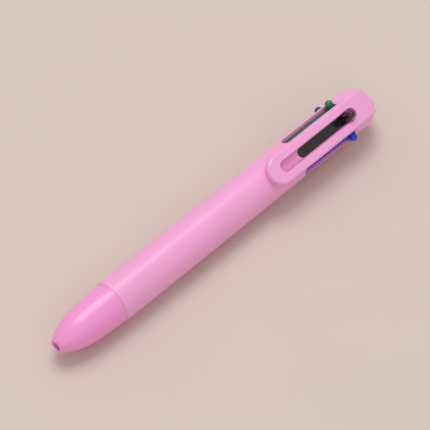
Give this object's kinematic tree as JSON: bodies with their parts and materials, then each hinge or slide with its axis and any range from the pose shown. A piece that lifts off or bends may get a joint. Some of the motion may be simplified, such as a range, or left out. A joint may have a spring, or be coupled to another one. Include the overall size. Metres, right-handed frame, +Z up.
{
  "type": "multicolor click pen",
  "caption": "Retractable ballpoint pen with several ink colours, each pushed out by its own sliding knob, with a pocket clip on the tail cap.",
  "frame": {"origin": "on the desk, under the middle of the pen's box, with the pen lying on its two lowest knobs", "axes": "+X along the pen towards the tail cap, +Z up, the clip leaning 30 degrees from +Z towards -Y"},
  "size_m": [0.145, 0.0188, 0.0195],
  "materials": {
    "nose": "satin",
    "barrel": "satin",
    "cap": "glossy",
    "core": "matt",
    "spring_steel": "bright wire",
    "tube": "clear plastic",
    "tip_metal": "turned",
    "ball_metal": "polished",
    "black_knob": "glossy",
    "black_ink": "wet",
    "blue_knob": "glossy",
    "blue_ink": "wet",
    "orange_knob": "glossy",
    "orange_ink": "wet",
    "red_knob": "glossy",
    "red_ink": "wet",
    "purple_knob": "glossy",
    "purple_ink": "wet",
    "green_knob": "glossy",
    "green_ink": "wet"
  },
  "bodies": {
    "housing": {"nose_cone": "nose", "barrel": "barrel", "cap_with_clip": "cap", "slider_core": "core", "spring_disc": "core", "black_spring": "spring_steel", "blue_spring": "spring_steel", "orange_spring": "spring_steel", "red_spring": "spring_steel", "purple_spring": "spring_steel", "green_spring": "spring_steel"},
    "black_slider_body": {"black_slider": "black_knob"},
    "black_refill": {"black_refill_tube": "tube", "black_refill_ink": "black_ink", "black_refill_tip": "tip_metal", "black_refill_ball": "ball_metal"},
    "blue_slider_body": {"blue_slider": "blue_knob"},
    "blue_refill": {"blue_refill_tube": "tube", "blue_refill_ink": "blue_ink", "blue_refill_tip": "tip_metal", "blue_refill_ball": "ball_metal"},
    "orange_slider_body": {"orange_slider": "orange_knob"},
    "orange_refill": {"orange_refill_tube": "tube", "orange_refill_ink": "orange_ink", "orange_refill_tip": "tip_metal", "orange_refill_ball": "ball_metal"},
    "red_slider_body": {"red_slider": "red_knob"},
    "red_refill": {"red_refill_tube": "tube", "red_refill_ink": "red_ink", "red_refill_tip": "tip_metal", "red_refill_ball": "ball_metal"},
    "purple_slider_body": {"purple_slider": "purple_knob"},
    "purple_refill": {"purple_refill_tube": "tube", "purple_refill_ink": "purple_ink", "purple_refill_tip": "tip_metal", "purple_refill_ball": "ball_metal"},
    "green_slider_body": {"green_slider": "green_knob"},
    "green_refill": {"green_refill_tube": "tube", "green_refill_ink": "green_ink", "green_refill_tip": "tip_metal", "green_refill_ball": "ball_metal"}
  },
  "joints": [
    {"name": "black_slide", "type": "slide", "parent": "housing", "child": "black_slider_body", "axis": [-1, 0, 0], "range_m": [0, 0.019], "stiffness_N_per_m": 60, "springref_m": -0.005, "deforming": ["black_spring"]},
    {"name": "black_refill_tilt", "type": "hinge", "parent": "black_slider_body", "child": "black_refill", "pos_m": [0.02585, -0.00208, 0.01191], "axis": [0, -0.866, -0.5], "range_deg": [0, 2.95], "deforming": ["black_refill_tube", "black_refill_ink", "black_refill_tip", "black_refill_ball"]},
    {"name": "blue_slide", "type": "slide", "parent": "housing", "child": "blue_slider_body", "axis": [-1, 0, 0], "range_m": [0, 0.019], "stiffness_N_per_m": 60, "springref_m": -0.005, "deforming": ["blue_spring"]},
    {"name": "blue_refill_tilt", "type": "hinge", "parent": "blue_slider_body", "child": "blue_refill", "pos_m": [0.02585, -0.00415, 0.00832], "axis": [0, 0, -1], "range_deg": [0, 2.95], "deforming": ["blue_refill_tube", "blue_refill_ink", "blue_refill_tip", "blue_refill_ball"]},
    {"name": "orange_slide", "type": "slide", "parent": "housing", "child": "orange_slider_body", "axis": [-1, 0, 0], "range_m": [0, 0.019], "stiffness_N_per_m": 60, "springref_m": -0.005, "deforming": ["orange_spring"]},
    {"name": "orange_refill_tilt", "type": "hinge", "parent": "orange_slider_body", "child": "orange_refill", "pos_m": [0.02585, -0.00208, 0.00472], "axis": [0, 0.866, -0.5], "range_deg": [0, 2.95], "deforming": ["orange_refill_tube", "orange_refill_ink", "orange_refill_tip", "orange_refill_ball"]},
    {"name": "red_slide", "type": "slide", "parent": "housing", "child": "red_slider_body", "axis": [-1, 0, 0], "range_m": [0, 0.019], "stiffness_N_per_m": 60, "springref_m": -0.005, "deforming": ["red_spring"]},
    {"name": "red_refill_tilt", "type": "hinge", "parent": "red_slider_body", "child": "red_refill", "pos_m": [0.02585, 0.00208, 0.00472], "axis": [0, 0.866, 0.5], "range_deg": [0, 2.95], "deforming": ["red_refill_tube", "red_refill_ink", "red_refill_tip", "red_refill_ball"]},
    {"name": "purple_slide", "type": "slide", "parent": "housing", "child": "purple_slider_body", "axis": [-1, 0, 0], "range_m": [0, 0.019], "stiffness_N_per_m": 60, "springref_m": -0.005, "deforming": ["purple_spring"]},
    {"name": "purple_refill_tilt", "type": "hinge", "parent": "purple_slider_body", "child": "purple_refill", "pos_m": [0.02585, 0.00415, 0.00832], "axis": [0, 0, 1], "range_deg": [0, 2.95], "deforming": ["purple_refill_tube", "purple_refill_ink", "purple_refill_tip", "purple_refill_ball"]},
    {"name": "green_slide", "type": "slide", "parent": "housing", "child": "green_slider_body", "axis": [-1, 0, 0], "range_m": [0, 0.019], "stiffness_N_per_m": 60, "springref_m": -0.005, "deforming": ["green_spring"]},
    {"name": "green_refill_tilt", "type": "hinge", "parent": "green_slider_body", "child": "green_refill", "pos_m": [0.02585, 0.00208, 0.01191], "axis": [0, -0.866, 0.5], "range_deg": [0, 2.95], "deforming": ["green_refill_tube", "green_refill_ink", "green_refill_tip", "green_refill_ball"]}
  ],
  "couplings": [
    {"joint": "black_refill_tilt", "follows": "black_slide", "rad_per_m": 2.6648},
    {"joint": "blue_refill_tilt", "follows": "blue_slide", "rad_per_m": 2.6648},
    {"joint": "orange_refill_tilt", "follows": "orange_slide", "rad_per_m": 2.6648},
    {"joint": "red_refill_tilt", "follows": "red_slide", "rad_per_m": 2.6648},
    {"joint": "purple_refill_tilt", "follows": "purple_slide", "rad_per_m": 2.6648},
    {"joint": "green_refill_tilt", "follows": "green_slide", "rad_per_m": 2.6648}
  ]
}
